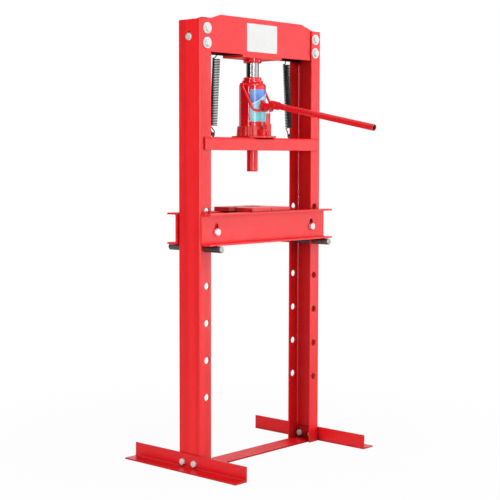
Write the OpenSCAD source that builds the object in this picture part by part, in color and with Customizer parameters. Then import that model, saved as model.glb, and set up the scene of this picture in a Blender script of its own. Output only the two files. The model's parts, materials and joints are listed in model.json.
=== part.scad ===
// Hydraulic H-frame press: two channel uprights, a top beam, a sprung sliding bolster that carries a
// bottle jack, and a bed that hangs on two pins. The jack's ram stands against the beam, so pumping
// drives the bolster and its press ram down. Millimetres, +Z up, front towards -Y, floor at z = 0.

/* [Uprights] */
// Height of the uprights
post_h = 1220; // [1000:5:1500]
// Width of the frame over the outer webs
frame_w = 506; // [440:1:700]
// Depth of an upright, front to back
post_depth = 84; // [76:1:110]
// Flange width of an upright
post_flange = 41.5; // [38:0.5:55]
// Sheet thickness of an upright
post_wall = 4; // [3:0.5:6]
// Outside bend radius of an upright
post_bend = 5; // [4.5:0.5:9]
// Height of the lowest pin hole
first_hole_z = 199.5; // [150:0.5:260]
// Distance between pin holes
hole_pitch = 101.5; // [60:0.5:110]
// Number of pin holes in each flange
hole_count = 6; // [5:1:7]
// Distance of the pin holes from the outer web
pin_line = 25; // [20:0.5:29]

/* [Feet] */
// Length of a foot, front to back
foot_len = 426; // [300:2:600]
// Height of a foot's upright leg
foot_h = 41.5; // [36:0.5:60]
// Width of a foot's floor leg
foot_leg = 45; // [36:0.5:70]
// Thickness of a foot
foot_wall = 4; // [3:0.5:6]
// Height of the upturned ends of the floor tie
tie_tab_h = 38; // [32:1:60]
// Thickness of the floor tie
tie_wall = 4; // [3:0.5:6]
// Distance between the two bolts of a foot
foot_bolt_gap = 44; // [36:1:50]
// Height of the foot bolts
foot_bolt_z = 17.5; // [16.5:0.5:24]

/* [Top beam] */
// Height of the top beam
beam_h = 101; // [90:1:130]
// How far the beam stands above the uprights
beam_rise = 16; // [4:1:20]
// Sheet thickness of the beam
beam_wall = 4; // [3:0.5:6]
// Width of the level part of the beam's top
beam_flat_w = 338; // [220:2:380]
// Slope of the beam's top towards its ends, in degrees
beam_slope = 17; // [12:1:22]
// Width of the jack seat plate
seat_w = 164; // [90:2:220]
// Thickness of the jack seat plate
seat_t = 7; // [5:0.5:14]
// Distance of the beam bolts from the outer web
bolt_line = 26; // [24:0.5:29]
// Height of the lower beam bolts above the beam's lower edge
beam_bolt_low = 22; // [18:0.5:26]
// Distance between the two beam bolts of a flange
beam_bolt_gap = 39; // [32:0.5:44]

/* [Bolster] */
// Height of the bolster
bolster_h = 35; // [30:1:60]
// Sheet thickness of the bolster
bolster_wall = 4; // [3:0.5:6]
// Running gap between the bolster's sides and the uprights
bolster_gap = 1.5; // [1:0.5:6]
// How far the bolster's sides stop short of the outer webs
bolster_inset = 15; // [2:0.5:20]
// Diameter of the press ram
press_ram_d = 31.5; // [24:0.5:40]
// Length of the press ram below the bolster
press_ram_out = 60; // [30:1:100]

/* [Jack] */
// Outside diameter of the jack's reservoir
tank_d = 76.5; // [72:0.5:90]
// Height of the reservoir above the jack's base
tank_h = 123; // [116:1:160]
// Height of the jack's base casting
base_h = 32; // [30:1:45]
// Diameter of the jack's ram
ram_d = 36; // [30:0.5:40]
// Length of the ram that shows at rest
ram_out = 40; // [10:1:80]
// Diameter of the cap on the ram
cap_d = 53; // [46:1:64]
// Height of the cap on the ram
cap_h = 11; // [8:0.5:20]
// Number of flutes round the jack's base
flute_count = 14; // [8:1:18]
// Distance of the pump from the ram's axis
pump_reach = 60; // [59:0.5:70]
// Distance of the lever's fulcrum from the pump's axis
lever_arm = 15; // [14.5:0.5:16]
// Full swing of the pump lever, in degrees
lever_swing = 55; // [30:1:60]
// Diameter of the pump plunger
plunger_d = 8; // [7:0.5:10]
// Diameter of the pump handle
handle_d = 17.5; // [12:0.5:19]
// Wall of the pump handle's tube
handle_wall = 2; // [1:0.25:3]
// Length of the pump handle
handle_len = 361; // [200:1:600]
// Downward slope of the handle at rest, in degrees
handle_tilt = 11; // [0:1:16]
// Diameter of the carrying bail's rod
bail_d = 7; // [5:0.5:7.5]
// Height of the bail's pivots below the reservoir's top
bail_drop = 7; // [6:0.5:18]
// Length of the bail from its pivots to its crosspiece
bail_len = 83; // [80:1:88]

/* [Springs] */
// Outside diameter of a spring's coil
coil_od = 22.5; // [18:0.5:26]
// Diameter of the spring wire
wire_d = 3; // [2:0.25:3.5]
// Number of curls in each spring
coil_turns = 41; // [20:1:44]
// Distance of the springs' top hooks from the middle
spring_top_x = 146; // [120:1:160]
// Distance of the springs' eyes from the middle
spring_eye_x = 161; // [130:1:175]
// Diameter of the rods that the springs hang on
spring_rod_d = 8; // [6:0.5:10]

/* [Bed] */
// Height of a bed channel
bed_h = 86; // [70:1:110]
// Flange width of a bed channel
bed_flange = 37; // [30:0.2:55]
// Thickness of a bed channel
bed_wall = 5; // [4:0.5:7]
// Length of the bed
bed_len = 518; // [510:2:720]
// Gap between a bed channel and the uprights
bed_gap = 3.2; // [3:0.2:12]
// How far the bed stands forward of the uprights' middle
bed_forward = 2.6; // [0:0.2:2.6]
// Diameter of the bed pins
pin_d = 18; // [15:0.5:20]
// Length of a bed pin
pin_len = 198; // [180:2:260]
// Least daylight between the arbor plates and the press ram
daylight = 90; // [90:1:300]
// Width of an arbor plate
plate_w = 80; // [60:1:100]
// Length of an arbor plate, front to back
plate_len = 150; // [130:2:170]
// Thickness of an arbor plate
plate_h = 11; // [10:0.5:25]
// Half width of the V in an arbor plate's outer side
vee = 14.5; // [8:0.5:20]
// Diameter of the round slot in an arbor plate's inner side
window_d = 30; // [16:1:40]

/* [Hidden] */
$fn = 48;

// Paint and metal colours
red = [0.86, 0.12, 0.13];
zinc = [0.82, 0.82, 0.84];
chrome = [0.88, 0.88, 0.9];
dark_steel = [0.24, 0.24, 0.25];
spring_steel = [0.34, 0.34, 0.35];
rubber = [0.07, 0.07, 0.07];

// Clearances: a cut past a face, a running fit, a drilled hole over its bolt, a rest between bodies
past = 1;
fit = 0.05;
drill = 1;
rest = 0.3;
least_bend = 0.5;

// Bolt sizes: thread, across flats, head height, nut height
beam_bolt_d = 12;
beam_bolt_af = 18;
beam_bolt_head = 6;
beam_nut_h = 10;
beam_washer_d = 30;
beam_washer_t = 2.5;
web_bolt_d = 8;
web_bolt_af = 13;
web_bolt_head = 5;
web_nut_h = 6.5;
web_washer_d = 20;
web_washer_t = 2;
foot_bolt_d = 10;
foot_bolt_af = 16;
foot_bolt_head = 6.4;
foot_nut_h = 8;
bed_bolt_d = 12;
bed_bolt_af = 18;
bed_bolt_head = 7.5;
bed_nut_h = 10;
thread_out = 2;

// Levels, worked down from the beam to the press ram's nose
beam_top = post_h + beam_rise;
beam_low = beam_top - beam_h;
seat_low = beam_low - seat_t;
cap_low = seat_low - cap_h;
gland_flange_h = 6;
gland_head_h = 9;
gland_top = cap_low - ram_out;
tank_top = gland_top - gland_flange_h - gland_head_h;
base_top = tank_top - tank_h;
bolster_top = base_top - base_h;
bolster_low = bolster_top - bolster_h;
nose_z = bolster_low - press_ram_out;

// Uprights and beam
web_x = frame_w / 2;
web_in = web_x - post_wall;
flange_y = post_depth / 2;
flange_in = flange_y - post_wall;
flange_end_x = web_x - post_flange;
pin_x = web_x - pin_line;
pin_hole_d = pin_d + drill;
bolt_x = web_x - bolt_line;
beam_half = web_in - 2;
beam_in = flange_in - beam_wall;
beam_bolt_z = [beam_low + beam_bolt_low, beam_low + beam_bolt_low + beam_bolt_gap];
web_bolt_z = beam_low + beam_bolt_low + beam_bolt_gap / 2 - 2.5;
web_slot_rise = 10;
end_plate_low = beam_low + 6;
end_plate_top = web_bolt_z + 22;
rib_x = 32;
rib_t = 6;
rib_drop = 14;
spring_rod_z = beam_low + 11;

// Feet and tie
foot_fillet = 4;
foot_bolt_y = foot_bolt_gap / 2;
tie_w = foot_bolt_gap + 20;
tie_bend = 6;

// Bolster
bolster_in = flange_y + bolster_gap;
bolster_out = bolster_in + bolster_wall;
bolster_half = web_x - bolster_inset;
bolster_bend = 6;
bolster_web_half = flange_end_x - 2;
pad_w = 120;
pad_t = 12;
pad_half = bolster_in - bolster_bend + bolster_wall;
nose_chamfer = 1.5;
eye_ring_r = 4.3;
eye_wire_r = 2.1;
eye_z = bolster_top + eye_ring_r + eye_wire_r + 1;
eye_shank_d = 5;
eye_nut_af = 8;
eye_nut_h = 4;

// Jack body
tank_r = tank_d / 2;
tank_wall = 3.5;
shoulder_r = 11;
tank_seat = 6;
tank_foot = base_top - tank_seat;
base_flange_t = 5;
flange_top = bolster_top + base_flange_t;
base_corner_r = 20;
base_half = 30;
base_back = 25;
base_shoulder = 28;
nose_half = 12;
nose_reach = pump_reach - 8;
pedestal_low_r = tank_r + 6.75;
pedestal_top_r = tank_r + 4.75;
flute_r = 4.5;
flute_ring = tank_r + 8.25;
flute_gap = 50;
cylinder_floor = bolster_top + 12;
piston_h = 15;
piston_d = ram_d + 4;
cylinder_r = piston_d / 2 + 6;
gland_low = tank_top - 3;
gland_flange_d = 60;
gland_head_d = 52;
gland_chamfer = 1.5;
wiper_w = 3;
wiper_h = 3;
up_travel = ram_out - 1;
piston_low = cylinder_floor + up_travel + rest;
seal_w = 2.5;
seal_h = 5;
seal_rise = 4;
cap_chamfer = 3;
cap_socket = 4;
plug_r = 5;
plug_head_r = 6.5;
plug_z = tank_top - 32;

// Pump, lever and handle
block_left = 22;
block_right = 8;
block_front = pump_reach + 6;
block_back = 36;
block_r = 5;
block_h = 18;
boss_h = 33;
barrel_d = plunger_d + 4;
boss_r = barrel_d / 2 + 2.5;
barrel_low = flange_top + 5;
barrel_floor = barrel_low + 5;
barrel_top = flange_top + 63;
plunger_low = barrel_floor + 2;
fulcrum_y = -pump_reach + lever_arm;
fulcrum_z = tank_top - 65;
crank_z = fulcrum_z - lever_arm * tan(lever_swing / 2);
crank_r = lever_arm / cos(lever_swing / 2);
fulcrum_pin_d = 7;
crank_pin_d = 6;
crank_play = 0.35;
head_d = 13;
head_half = 6.5;
lug_half = 6.5;
lug_r = 5.5;
lug_rise = 14;
cheek_in = 7;
cheek_t = 5;
cheek_r = 6.3;
socket_start = 26;
socket_len = 27;
socket_wall = 2.75;
socket_floor = 2.5;
socket_rise = 7.5;
socket_d = handle_d + 2 * socket_wall;
handle_play = 0.15;
valve_x = -14;
valve_z = flange_top + 8;
valve_d = 9;
valve_depth = 20;
valve_head_d = 11;
valve_head_t = 7;
valve_slot = 2;

// Bail
bail_x = tank_r + 4.75;
bail_z = tank_top - bail_drop;
bail_bend = 11;
bail_y = tank_r + bail_d / 2 + rest;
bail_lean = asin(bail_y / bail_len);
stud_d = 6;
stud_head_d = 9;
stud_head_t = 2;
bail_eye_d = 12;
bail_eye_half = bail_d / 2 - rest;

// Springs
coil_r = (coil_od - wire_d) / 2;
wire_sides = 6;
curl_rings = 8;
hook_rings = 8;
bridge_rings = 6;
rod_hook_r = spring_rod_d / 2 + wire_d / 2 + rest;
eye_hook_r = 6;
eye_wire_z = eye_z + eye_ring_r - eye_wire_r - wire_d / 2 - rest;
eye_hook_z = eye_wire_z + eye_hook_r;
rod_run = 24;
eye_run = 18;
bridge_pull = 8;

// Bed
bed_drop = bed_h + plate_h + pin_d / 2 + 2 * rest + daylight;
bed_hole = max(0, min(hole_count - 1, floor((nose_z - bed_drop - first_hole_z) / hole_pitch)));
bed_pin_z = first_hole_z + bed_hole * hole_pitch;
bed_low = bed_pin_z + pin_d / 2 + rest;
bed_top = bed_low + bed_h;
bed_in = flange_y + bed_gap;
bed_front_in = bed_in + bed_forward;
bed_rear_in = bed_in - bed_forward;
bed_bend = 8;
spacer_d = 18;
spacer_x = flange_end_x - spacer_d / 2 - 1.5;
bed_bolt_z = bed_low + 35;
bed_slot_rise = 17;
plate_low = bed_top + rest;
plate_split = 0.2;
plate_corner = 3;
pin_chamfer = 1.5;

// Shape helpers

module left_and_right() {
    children();
    mirror([1, 0, 0]) children();
}

module front_and_back() {
    children();
    mirror([0, 1, 0]) children();
}

// A profile drawn in Y and Z, run along X
module along_x(length) {
    rotate([90, 0, 90]) linear_extrude(length, center = true) children();
}

// A profile drawn in X and Z, run along Y
module along_y(length) {
    rotate([90, 0, 0]) linear_extrude(length, center = true) children();
}

// A convex outline with every corner rounded, from the corners' centres in anticlockwise order
module rounded_outline(centres, r) {
    count = len(centres);
    polygon(centres);
    for (i = [0 : count - 1]) {
        a = centres[i];
        b = centres[(i + 1) % count];
        along = (b - a) / norm(b - a);
        out = r * [along[1], -along[0]];
        polygon([a, a + out, b + out, b]);
        translate(a) circle(r);
    }
}

// A slot with round ends, centred on a and b
module slot(a, b, d) {
    along = (b - a) / norm(b - a);
    out = d / 2 * [along[1], -along[0]];
    polygon([a + out, b + out, b - out, a - out]);
    translate(a) circle(d = d);
    translate(b) circle(d = d);
}

// A bar from x = 0 with its two corners there rounded
module bent_bar(depth, reach, bend) {
    translate([bend, -depth / 2]) square([reach - bend, depth]);
    translate([0, bend - depth / 2]) square([bend, depth - 2 * bend]);
    for (s = [-1, 1]) translate([bend, s * (depth / 2 - bend)]) circle(bend);
}

// A bent channel: web along x = 0, flanges reaching to +x
module channel(depth, flange, wall, bend) {
    difference() {
        bent_bar(depth, flange, bend);
        translate([wall, 0]) bent_bar(depth - 2 * wall, flange, max(bend - wall, least_bend));
    }
}

module hex(af, h) {
    rotate(30) cylinder(d = af / cos(30), h = h, $fn = 6);
}

// A bolt along +z with its head below z = 0
module bolt(d, length, af, head_h) {
    translate([0, 0, -head_h]) hex(af, head_h);
    translate([0, 0, -past]) cylinder(d = d, h = length + past);
}

module nut(d, af, h) {
    difference() {
        hex(af, h);
        translate([0, 0, -past]) cylinder(d = d + 2 * fit, h = h + 2 * past);
    }
}

module washer(d, outer, t) {
    difference() {
        cylinder(d = outer, h = t);
        translate([0, 0, -past]) cylinder(d = d + 2 * fit, h = t + 2 * past);
    }
}

module bar_x(d, length) {
    rotate([0, 90, 0]) cylinder(d = d, h = length, center = true);
}

module bar_y(d, length) {
    rotate([90, 0, 0]) cylinder(d = d, h = length, center = true);
}

module tube(outer, inner, h) {
    difference() {
        cylinder(d = outer, h = h);
        translate([0, 0, -past]) cylinder(d = inner, h = h + 2 * past);
    }
}

// A round bar with both ends chamfered, along +z from 0
module chamfered_bar(d, h, chamfer) {
    cylinder(d1 = d - 2 * chamfer, d2 = d, h = chamfer);
    translate([0, 0, chamfer]) cylinder(d = d, h = h - 2 * chamfer);
    translate([0, 0, h - chamfer]) cylinder(d1 = d, d2 = d - 2 * chamfer, h = chamfer);
}

// Places where bolts sit, for the left side; mirrored for the right

module beam_bolt_places(y) {
    left_and_right() front_and_back() for (z = beam_bolt_z) {
        translate([-bolt_x, -y, z]) rotate([-90, 0, 0]) children();
    }
}

module web_bolt_places(x) {
    left_and_right() translate([-x, 0, web_bolt_z]) rotate([0, 90, 0]) children();
}

module foot_bolt_places(x) {
    left_and_right() front_and_back() {
        translate([-x, foot_bolt_y, foot_bolt_z]) rotate([0, 90, 0]) children();
    }
}

// Frame

module post() {
    color(red) difference() {
        translate([-web_x, 0, 0]) linear_extrude(post_h) {
            channel(post_depth, post_flange, post_wall, post_bend);
        }
        for (i = [0 : hole_count - 1]) {
            translate([-pin_x, 0, first_hole_z + i * hole_pitch]) bar_y(pin_hole_d, post_depth + 2 * past);
        }
        for (z = beam_bolt_z) {
            translate([-bolt_x, 0, z]) bar_y(beam_bolt_d + drill, post_depth + 2 * past);
        }
        front_and_back() translate([-web_x, foot_bolt_y, foot_bolt_z]) {
            bar_x(foot_bolt_d + drill, 2 * post_wall + 2 * past);
        }
        translate([-web_x, 0, web_bolt_z]) along_x(2 * post_wall + 2 * past) {
            slot([0, 0], [0, web_slot_rise], web_bolt_d + drill);
        }
    }
}

module post_left() {
    post();
}

module post_right() {
    mirror([1, 0, 0]) post();
}

// Rolled angle: sharp heel at the web's foot, fillet inside
module foot_profile() {
    translate([-foot_wall, 0]) square([foot_wall, foot_h]);
    translate([-foot_leg, 0]) square([foot_leg, foot_wall]);
    difference() {
        translate([-foot_wall - foot_fillet, foot_wall]) square(foot_fillet);
        translate([-foot_wall - foot_fillet, foot_wall + foot_fillet]) circle(foot_fillet);
    }
}

module foot() {
    color(red) difference() {
        translate([-web_x, 0, 0]) along_y(foot_len) foot_profile();
        front_and_back() translate([-web_x, foot_bolt_y, foot_bolt_z]) {
            bar_x(foot_bolt_d + drill, 2 * foot_wall + 2 * past);
        }
    }
}

module foot_left() {
    foot();
}

module foot_right() {
    mirror([1, 0, 0]) foot();
}

// Flat strap on the floor with both ends turned up inside the uprights
module floor_tie() {
    color(red) difference() {
        rotate([0, -90, -90]) linear_extrude(tie_w, center = true) {
            channel(2 * web_in, tie_tab_h, tie_wall, tie_bend);
        }
        front_and_back() translate([0, foot_bolt_y, foot_bolt_z]) bar_x(foot_bolt_d + drill, frame_w);
    }
}

module foot_bolts() {
    grip = foot_wall + post_wall + tie_wall + foot_nut_h + thread_out;
    color(zinc) foot_bolt_places(web_x + foot_wall) bolt(foot_bolt_d, grip, foot_bolt_af, foot_bolt_head);
}

module foot_nuts() {
    color(zinc) foot_bolt_places(web_in - tie_wall) nut(foot_bolt_d, foot_bolt_af, foot_nut_h);
}

// Front outline of the beam: level in the middle, sloping down to its ends
module beam_outline() {
    flat = beam_flat_w / 2;
    end_z = beam_top - (beam_half - flat) * tan(beam_slope);
    polygon([
        [-beam_half, beam_low], [beam_half, beam_low], [beam_half, end_z],
        [flat, beam_top], [-flat, beam_top], [-beam_half, end_z]
    ]);
}

// One of the two plates bolted inside the uprights' flanges
module beam_plate() {
    color(red) translate([0, beam_wall / 2 - flange_in, 0]) difference() {
        along_y(beam_wall) beam_outline();
        left_and_right() for (z = beam_bolt_z) {
            translate([-bolt_x, 0, z]) bar_y(beam_bolt_d + drill, beam_wall + 2 * past);
        }
    }
}

module top_beam_front() {
    beam_plate();
}

module top_beam_rear() {
    mirror([0, 1, 0]) beam_plate();
}

module beam_ribs() {
    rib_h = beam_h - rib_drop;
    color(red) left_and_right() translate([rib_x, 0, beam_low + rib_h / 2]) {
        cube([rib_t, 2 * beam_in, rib_h], center = true);
    }
}

module beam_end_plates() {
    color(red) left_and_right() difference() {
        translate([-web_in, -beam_in, end_plate_low]) {
            cube([beam_wall, 2 * beam_in, end_plate_top - end_plate_low]);
        }
        translate([-web_in, 0, web_bolt_z]) bar_x(web_bolt_d + drill, 2 * beam_wall + 2 * past);
    }
}

module jack_seat_plate() {
    color(red) translate([-seat_w / 2, -flange_in, seat_low]) cube([seat_w, 2 * flange_in, seat_t]);
}

module spring_rods() {
    color(dark_steel) left_and_right() {
        translate([spring_top_x, 0, spring_rod_z]) bar_y(spring_rod_d, 2 * beam_in);
    }
}

module beam_bolts() {
    grip = beam_washer_t + post_wall + beam_wall + beam_nut_h + thread_out;
    color(zinc) beam_bolt_places(flange_y + beam_washer_t) {
        bolt(beam_bolt_d, grip, beam_bolt_af, beam_bolt_head);
    }
}

module beam_washers() {
    color(zinc) beam_bolt_places(flange_y + beam_washer_t) {
        washer(beam_bolt_d, beam_washer_d, beam_washer_t);
    }
}

module beam_nuts() {
    color(zinc) beam_bolt_places(beam_in) nut(beam_bolt_d, beam_bolt_af, beam_nut_h);
}

module web_bolts() {
    grip = web_washer_t + post_wall + beam_wall + web_nut_h + thread_out;
    color(zinc) web_bolt_places(web_x + web_washer_t) {
        bolt(web_bolt_d, grip, web_bolt_af, web_bolt_head);
    }
}

module web_washers() {
    color(zinc) web_bolt_places(web_x + web_washer_t) washer(web_bolt_d, web_washer_d, web_washer_t);
}

module web_nuts() {
    color(zinc) web_bolt_places(web_in - beam_wall) nut(web_bolt_d, web_bolt_af, web_nut_h);
}

// Springs: one wire from the hook over the beam's rod, down the coil, to the hook in the bolster's eye

rod_point = [spring_top_x, 0, spring_rod_z];
eye_point = [spring_eye_x, 0, eye_hook_z];
coil_span = eye_point - rod_point;
coil_dir = coil_span / norm(coil_span);
coil_inward = [coil_dir[2], 0, -coil_dir[0]];
coil_start = rod_point + rod_run * coil_dir;
coil_len = norm(coil_span) - rod_run - eye_run;
coil_lead = coil_len / coil_turns;
side_dir = [0, 1, 0];
down_dir = [0, 0, -1];

function coil_point(turn) = coil_start + turn * coil_lead * coil_dir
    + coil_r * (cos(360 * turn) * coil_inward + sin(360 * turn) * side_dir);

function hook_point(centre, r, angle) = centre + r * [cos(angle), 0, sin(angle)];

// A cubic curve from a to b that leaves along from_dir and arrives along to_dir
function bridge_point(a, from_dir, b, to_dir, t) =
    pow(1 - t, 3) * a + 3 * pow(1 - t, 2) * t * (a + bridge_pull * from_dir)
    + 3 * (1 - t) * t * t * (b - bridge_pull * to_dir) + pow(t, 3) * b;

function spring_path() = let(
    over_rod = [for (i = [0 : hook_rings]) hook_point(rod_point, rod_hook_r, 180 * i / hook_rings)],
    in_eye = [for (i = [0 : hook_rings]) hook_point(eye_point, eye_hook_r, 180 + 180 * i / hook_rings)],
    coil = [for (i = [0 : curl_rings * coil_turns]) coil_point(i / curl_rings)],
    rod_in = over_rod[hook_rings],
    eye_in = in_eye[0],
    coil_out = coil[curl_rings * coil_turns],
    upper = [for (i = [1 : bridge_rings - 1])
        bridge_point(rod_in, down_dir, coil[0], side_dir, i / bridge_rings)],
    lower = [for (i = [1 : bridge_rings - 1])
        bridge_point(coil_out, side_dir, eye_in, down_dir, i / bridge_rings)]
) concat([over_rod[0] + wire_d * down_dir], over_rod, upper, coil, lower, in_eye,
    [in_eye[hook_rings] - wire_d * down_dir]);

function unit(v) = v / norm(v);

function tangents(path) = let(last = len(path) - 1) [
    for (i = [0 : last]) unit(path[min(i + 1, last)] - path[max(i - 1, 0)])
];

function square_to(v, dir) = unit(v - (v * dir) * dir);

// Carries one side direction along the path, so that the rings don't twist
function ring_sides(dirs) = let(last = len(dirs) - 1) [
    for (i = 0, side = side_dir; i <= last; i = i + 1, side = square_to(side, dirs[min(i, last)])) side
];

function wire_gap(path) = min([
    for (i = [0 : len(path) - 1], j = [i + curl_rings - 2 : 1 : len(path) - 1]) norm(path[i] - path[j])
]) - wire_d;

module spring() {
    path = spring_path();
    dirs = tangents(path);
    sides = ring_sides(dirs);
    count = len(path);
    points = [for (i = [0 : count - 1], k = [0 : wire_sides - 1]) let(
        a = 360 * k / wire_sides,
        up = cross(dirs[i], sides[i])
    ) path[i] + wire_d / 2 * (cos(a) * sides[i] + sin(a) * up)];
    walls = [for (i = [0 : count - 2], k = [0 : wire_sides - 1]) let(
        a = i * wire_sides + k,
        b = i * wire_sides + (k + 1) % wire_sides
    ) each [[a, a + wire_sides, b], [b, a + wire_sides, b + wire_sides]]];
    last = (count - 1) * wire_sides;
    caps = [for (k = [1 : wire_sides - 2]) each [[0, k, k + 1], [last, last + k + 1, last + k]]];
    echo(wire_gap = wire_gap(path));
    color(spring_steel) polyhedron(points, concat(walls, caps));
}

module spring_left() {
    mirror([1, 0, 0]) spring();
}

module spring_right() {
    spring();
}

// Jack ram, which stands against the beam

module jack_ram() {
    color(chrome) difference() {
        union() {
            translate([0, 0, piston_low]) cylinder(d = piston_d, h = piston_h);
            translate([0, 0, piston_low]) cylinder(d = ram_d, h = cap_low + cap_socket - piston_low);
        }
        translate([0, 0, piston_low + seal_rise]) tube(piston_d + 2 * past, piston_d - 2 * seal_w, seal_h);
    }
}

module ram_seal() {
    color(rubber) translate([0, 0, piston_low + seal_rise]) tube(piston_d, piston_d - 2 * seal_w, seal_h);
}

module ram_cap() {
    color(red) difference() {
        translate([0, 0, cap_low]) {
            cylinder(d1 = cap_d - 2 * cap_chamfer, d2 = cap_d, h = cap_chamfer);
            translate([0, 0, cap_chamfer]) cylinder(d = cap_d, h = cap_h - cap_chamfer);
        }
        translate([0, 0, cap_low - past]) cylinder(d = ram_d + 2 * fit, h = cap_socket + past);
    }
}

// Bolster: folded channel, web on top, whose sides run outside the uprights' flanges

module bolster() {
    notch = bolster_half - bolster_web_half + past;
    color(red) difference() {
        translate([0, 0, bolster_top]) rotate([0, 90, 0]) linear_extrude(2 * bolster_half, center = true) {
            channel(2 * bolster_out, bolster_h, bolster_wall, bolster_bend);
        }
        left_and_right() translate([bolster_web_half, -bolster_in, bolster_low - past]) {
            cube([notch, 2 * bolster_in, bolster_h + 2 * past]);
        }
        left_and_right() translate([spring_eye_x, 0, bolster_low]) {
            cylinder(d = eye_shank_d + 2 * fit, h = bolster_h + past);
        }
    }
}

// Load plate welded under the bolster's web, bored for the press ram
module bolster_pad() {
    color(red) translate([0, 0, bolster_top - bolster_wall - pad_t]) difference() {
        translate([-pad_w / 2, -pad_half, 0]) cube([pad_w, 2 * pad_half, pad_t]);
        translate([0, 0, -past]) cylinder(d = press_ram_d + 2 * fit, h = pad_t + 2 * past);
    }
}

module press_ram() {
    length = bolster_top - bolster_wall - nose_z;
    color(red) translate([0, 0, nose_z]) chamfered_bar(press_ram_d, length, nose_chamfer);
}

module spring_eyes() {
    shank_h = eye_z - eye_ring_r - bolster_top + bolster_wall + eye_nut_h + thread_out;
    color(dark_steel) left_and_right() translate([spring_eye_x, 0, eye_z]) {
        rotate([0, 90, 0]) rotate_extrude() translate([eye_ring_r, 0]) circle(eye_wire_r);
        translate([0, 0, -eye_ring_r - shank_h]) cylinder(d = eye_shank_d, h = shank_h);
    }
}

module eye_nuts() {
    color(zinc) left_and_right() {
        translate([spring_eye_x, 0, bolster_top - bolster_wall - eye_nut_h]) {
            nut(eye_shank_d, eye_nut_af, eye_nut_h);
        }
    }
}

// Jack body

module base_outline() {
    rounded_outline([
        [base_half, base_back], [-base_half, base_back], [-base_half, -base_shoulder],
        [-nose_half, -nose_reach], [nose_half, -nose_reach], [base_half, -base_shoulder]
    ], base_corner_r);
}

module pump_block_outline() {
    rounded_outline([
        [block_right - block_r, -block_back], [block_r - block_left, -block_back],
        [block_r - block_left, block_r - block_front], [block_right - block_r, block_r - block_front]
    ], block_r);
}

// Tapered casting with round flutes, left plain where the pump stands
module pedestal() {
    difference() {
        translate([0, 0, flange_top]) {
            cylinder(r1 = pedestal_low_r, r2 = pedestal_top_r, h = base_h - base_flange_t);
        }
        for (i = [0 : flute_count - 1]) {
            angle = flute_gap + (360 - 2 * flute_gap) * i / (flute_count - 1);
            rotate(angle - 90) translate([flute_ring, 0, flange_top + past]) {
                cylinder(r = flute_r, h = base_h);
            }
        }
    }
}

module jack_base() {
    color(red) difference() {
        union() {
            translate([0, 0, bolster_top]) linear_extrude(base_flange_t) base_outline();
            pedestal();
            translate([0, 0, bolster_top]) linear_extrude(base_flange_t + block_h) pump_block_outline();
            translate([0, -pump_reach, bolster_top]) cylinder(r = boss_r, h = base_flange_t + boss_h);
        }
        translate([0, 0, tank_foot]) cylinder(d = tank_d, h = tank_seat + past);
        translate([0, 0, cylinder_floor]) cylinder(r = cylinder_r, h = base_h);
        translate([0, -pump_reach, barrel_low]) cylinder(d = barrel_d, h = base_h + boss_h);
        translate([valve_x, valve_depth / 2 - block_front - past / 2, valve_z]) {
            bar_y(valve_d + 2 * fit, valve_depth + past);
        }
    }
}

// Half profile of the reservoir's outside or inside, with its rounded shoulder
module tank_profile(r, top, shoulder) {
    translate([0, tank_foot]) square([r, top - shoulder - tank_foot]);
    translate([0, tank_foot]) square([r - shoulder, top - tank_foot]);
    translate([r - shoulder, top - shoulder]) circle(shoulder);
}

module tank_solid() {
    rotate_extrude() tank_profile(tank_r, tank_top, shoulder_r);
}

module jack_reservoir() {
    color(red) difference() {
        tank_solid();
        rotate_extrude() tank_profile(tank_r - tank_wall, tank_top - tank_wall, shoulder_r - tank_wall);
        translate([0, 0, tank_foot - past]) cylinder(r = tank_r - tank_wall, h = 2 * past);
        translate([0, 0, tank_foot]) cylinder(r = cylinder_r, h = tank_h + tank_seat + past);
        translate([0, tank_r, plug_z]) bar_y(2 * plug_r, 2 * tank_wall + 2 * past);
    }
}

module jack_cylinder() {
    color(dark_steel) translate([0, 0, cylinder_floor]) {
        tube(2 * cylinder_r, piston_d + 2 * fit, gland_low - cylinder_floor);
    }
}

// Screwed gland that guides the ram, with a groove for the wiper at its top
module jack_gland() {
    color(red) difference() {
        union() {
            translate([0, 0, gland_low]) cylinder(r = cylinder_r, h = gland_top - gland_low - gland_chamfer);
            translate([0, 0, tank_top]) cylinder(d = gland_flange_d, h = gland_flange_h);
            translate([0, 0, tank_top]) {
                cylinder(d = gland_head_d, h = gland_flange_h + gland_head_h - gland_chamfer);
            }
            translate([0, 0, gland_top - gland_chamfer]) {
                cylinder(d1 = gland_head_d, d2 = gland_head_d - 2 * gland_chamfer, h = gland_chamfer);
            }
        }
        translate([0, 0, gland_low - past]) {
            cylinder(d = ram_d + 2 * fit, h = gland_top - gland_low + 2 * past);
        }
        translate([0, 0, gland_top - wiper_h]) cylinder(d = ram_d + 2 * wiper_w, h = wiper_h + past);
    }
}

module ram_wiper() {
    color(rubber) translate([0, 0, gland_top - wiper_h]) tube(ram_d + 2 * wiper_w, ram_d + 2 * fit, wiper_h);
}

module filler_plug() {
    color(rubber) translate([0, tank_r - tank_wall, plug_z]) rotate([-90, 0, 0]) {
        cylinder(r = plug_r, h = tank_wall + rest);
        translate([0, 0, tank_wall + rest]) cylinder(r = plug_head_r, h = past + rest);
    }
}

// Lug on the reservoir's front that carries the lever's fulcrum
module fulcrum_lug() {
    color(red) difference() {
        along_x(2 * lug_half) rounded_outline([
            [fulcrum_y, fulcrum_z], [-tank_r + lug_r, fulcrum_z], [-tank_r + lug_r, fulcrum_z + lug_rise]
        ], lug_r);
        cylinder(r = tank_r, h = gland_top);
        translate([0, fulcrum_y, fulcrum_z]) bar_x(fulcrum_pin_d, 2 * lug_half + 2 * past);
    }
}

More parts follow.
